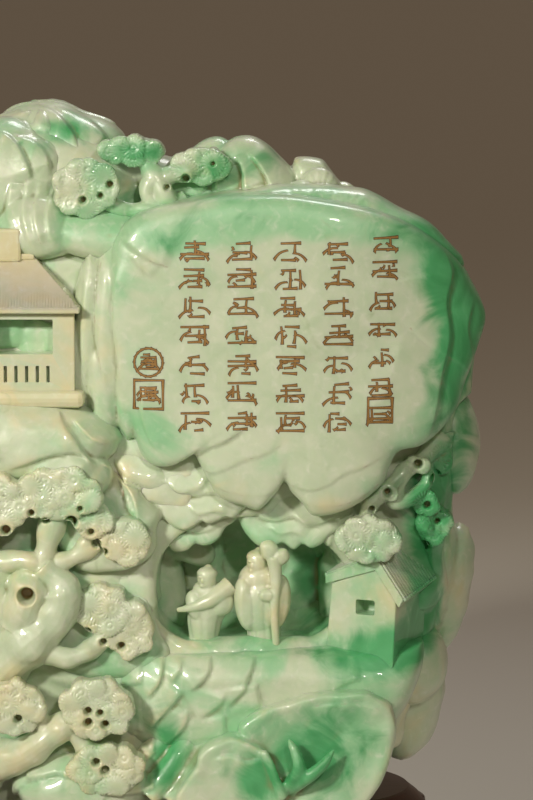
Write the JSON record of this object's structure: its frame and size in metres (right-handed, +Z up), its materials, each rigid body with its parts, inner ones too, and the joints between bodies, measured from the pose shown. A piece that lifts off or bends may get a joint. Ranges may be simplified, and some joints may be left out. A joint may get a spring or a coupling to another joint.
{
  "type": "jade boulder carving on stand",
  "caption": "Upright boulder of mottled green jadeite carved all round as a mountain with pavilion, pines and travellers, with an inscribed cliff, on a fitted hardwood stand.",
  "frame": {"origin": "centre of the flat underside of the wooden stand", "axes": "+Z up, front of the carving faces -Y, +X to the viewer's right, towards the inscribed cliff"},
  "size_m": [0.2687, 0.1071, 0.2523],
  "materials": {
    "jade": "polished jadeite, translucent, white to apple green with emerald patches",
    "hardwood": "dark brown hardwood, waxed"
  },
  "bodies": {
    "root": {"jade_boulder": "jade", "wood_stand": "hardwood"}
  },
  "joints": []
}
